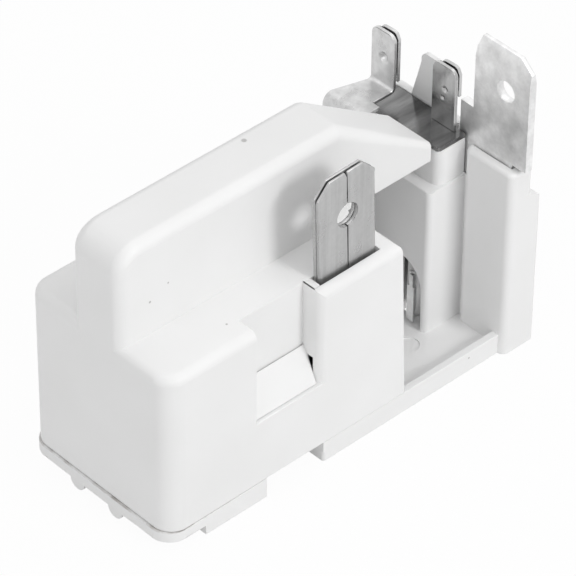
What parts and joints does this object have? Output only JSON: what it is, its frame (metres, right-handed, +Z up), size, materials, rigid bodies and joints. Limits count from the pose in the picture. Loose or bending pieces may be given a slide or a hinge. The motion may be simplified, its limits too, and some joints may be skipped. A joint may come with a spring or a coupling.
{
  "type": "compressor start relay",
  "caption": "White plastic start relay for a refrigeration compressor, with a finned cover over a thermistor, plug-on tabs on top and pin sockets underneath.",
  "frame": {"origin": "middle of the bounding box's underside, level with the undersides of the feet", "axes": "+X from the closed end of the cover to the end wall that holds the line tab; +Y from the side with the front tab to the far side; +Z up, the way the tabs point"},
  "size_m": [0.0418, 0.0186, 0.0311],
  "materials": {
    "cover_plastic": "satin white",
    "base_plastic": "satin white",
    "thermistor": "matte grey",
    "spring_metal": "spring bronze",
    "tab_metal": "tin-plated, drawn grain",
    "strap_metal": "tin-plated, mottled",
    "bridge_metal": "glossy, dark",
    "socket_metal": "tin-plated",
    "sleeve_metal": "bright spring steel"
  },
  "bodies": {
    "root": {"cover": "cover_plastic", "base": "base_plastic", "thermistor_disc": "thermistor", "near_spring": "spring_metal", "far_spring": "spring_metal", "front_tab": "tab_metal", "strap_tab": "strap_metal", "bridge_plate": "bridge_metal", "bridge_tab": "strap_metal", "line_tab": "tab_metal", "start_socket": "socket_metal", "main_socket": "socket_metal", "start_socket_sleeve": "sleeve_metal", "main_socket_sleeve": "sleeve_metal"}
  },
  "joints": []
}
